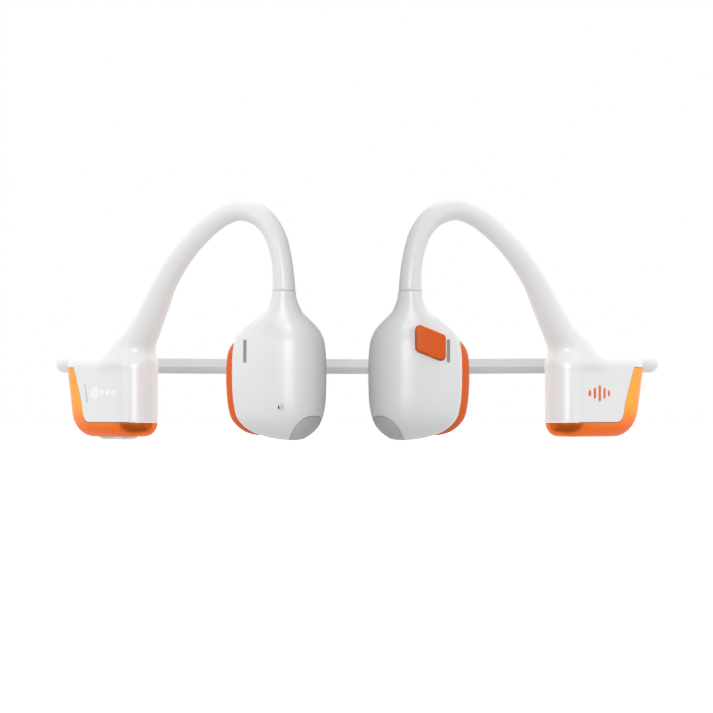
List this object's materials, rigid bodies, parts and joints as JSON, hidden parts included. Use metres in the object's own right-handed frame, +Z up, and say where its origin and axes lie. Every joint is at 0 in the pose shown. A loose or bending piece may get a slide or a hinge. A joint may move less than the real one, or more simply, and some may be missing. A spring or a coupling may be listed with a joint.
{
  "type": "bone conduction headphones",
  "caption": "Open-ear neckband headphones with ear hooks, behind-ear housings, skin-contact sound units, orange trim and press keys.",
  "frame": {"origin": "centre of the bounding box's bottom face, on the table", "axes": "+Z up, +X towards the wearer's left, -Y towards the front where the sound units hang"},
  "size_m": [0.1294, 0.1008, 0.0488],
  "materials": {
    "white_shell": "satin moulded white plastic",
    "white_silicone": "soft-touch white silicone",
    "grey_silicone": "light grey silicone",
    "orange_cover": "glossy pearl orange plastic",
    "orange_silicone": "matte orange silicone",
    "orange_button": "satin orange plastic",
    "spring_metal": "drawn titanium and steel",
    "magnet": "nickel-plated magnet",
    "copper": "enamelled copper winding",
    "circuit_board": "solder-masked board",
    "dark_plastic": "dark moulded plastic",
    "frame_plastic": "grey moulded plastic",
    "mesh": "woven acoustic mesh",
    "vent_grey": "light grey vent grille",
    "key_grey": "pale grey plastic",
    "light_pipe": "translucent light pipe",
    "battery_foil": "foil pouch",
    "foam": "open-cell foam"
  },
  "bodies": {
    "neckband": {"band_skin": "grey_silicone", "band_wire": "spring_metal"},
    "left_arm": {"left_band_skin": "grey_silicone", "left_band_wire": "spring_metal", "left_housing_shell": "white_shell", "left_housing_cover": "orange_cover", "left_hook_skin": "white_silicone", "left_hook_wire": "spring_metal", "battery": "battery_foil", "battery_foam": "foam", "protection_board": "circuit_board"},
    "right_arm": {"right_band_skin": "grey_silicone", "right_band_wire": "spring_metal", "right_housing_shell": "white_shell", "right_housing_cover": "orange_cover", "right_hook_skin": "white_silicone", "right_hook_wire": "spring_metal", "main_board": "circuit_board", "usb_receptacle": "spring_metal", "usb_gasket": "foam", "status_light_pipe": "light_pipe", "ambient_microphone": "magnet", "volume_switches": "dark_plastic", "board_screws": "spring_metal"},
    "left_unit": {"left_front_shell": "white_shell", "left_skin_pad": "orange_silicone", "left_unit_hook_skin": "white_silicone", "left_unit_hook_wire": "spring_metal", "left_inner_frame": "frame_plastic", "left_driver_coil": "copper", "left_driver_spring": "spring_metal", "left_air_speaker": "dark_plastic", "left_slot_mesh": "mesh", "left_vent_mesh": "vent_grey", "button_switch": "dark_plastic"},
    "right_unit": {"right_front_shell": "white_shell", "right_skin_pad": "orange_silicone", "right_unit_hook_skin": "white_silicone", "right_unit_hook_wire": "spring_metal", "right_inner_frame": "frame_plastic", "right_driver_coil": "copper", "right_driver_spring": "spring_metal", "right_air_speaker": "dark_plastic", "right_slot_mesh": "mesh", "right_vent_mesh": "vent_grey", "front_microphone": "dark_plastic"},
    "multifunction_button": {"multifunction_button": "orange_button"},
    "volume_up_key": {"volume_up_key": "key_grey"},
    "volume_down_key": {"volume_down_key": "key_grey"},
    "left_driver": {"left_driver_yoke": "spring_metal", "left_driver_magnet": "magnet"},
    "right_driver": {"right_driver_yoke": "spring_metal", "right_driver_magnet": "magnet"}
  },
  "joints": [
    {"name": "left_band_flex", "type": "hinge", "parent": "neckband", "child": "left_arm", "pos_m": [0.03623, 0.04359, 0.01615], "axis": [0, 0, 1], "range_deg": [0, 35], "stiffness_Nm_per_rad": 0.2},
    {"name": "right_band_flex", "type": "hinge", "parent": "neckband", "child": "right_arm", "pos_m": [-0.03623, 0.04359, 0.01615], "axis": [0, 0, -1], "range_deg": [0, 35], "stiffness_Nm_per_rad": 0.2},
    {"name": "left_hook_flex", "type": "hinge", "parent": "left_arm", "child": "left_unit", "pos_m": [0.02501, -0.0418, 0.04623], "axis": [0, 0, 1], "range_deg": [0, 12], "stiffness_Nm_per_rad": 0.1},
    {"name": "right_hook_flex", "type": "hinge", "parent": "right_arm", "child": "right_unit", "pos_m": [-0.02501, -0.0418, 0.04623], "axis": [0, 0, -1], "range_deg": [0, 12], "stiffness_Nm_per_rad": 0.1},
    {"name": "button_press", "type": "slide", "parent": "left_unit", "child": "multifunction_button", "axis": [-0.1736, 0.9848, 0], "range_m": [0, 0.0004], "stiffness_N_per_m": 2500},
    {"name": "volume_up_press", "type": "slide", "parent": "right_arm", "child": "volume_up_key", "axis": [0, 0, 1], "range_m": [0, 0.0004], "stiffness_N_per_m": 6000},
    {"name": "volume_down_press", "type": "slide", "parent": "right_arm", "child": "volume_down_key", "axis": [0, 0, 1], "range_m": [0, 0.0004], "stiffness_N_per_m": 6000},
    {"name": "left_driver_travel", "type": "slide", "parent": "left_unit", "child": "left_driver", "axis": [0.3007, 0.9537, 0], "range_m": [-0.0002, 0.0002], "stiffness_N_per_m": 9000},
    {"name": "right_driver_travel", "type": "slide", "parent": "right_unit", "child": "right_driver", "axis": [-0.3007, 0.9537, 0], "range_m": [-0.0002, 0.0002], "stiffness_N_per_m": 9000}
  ]
}
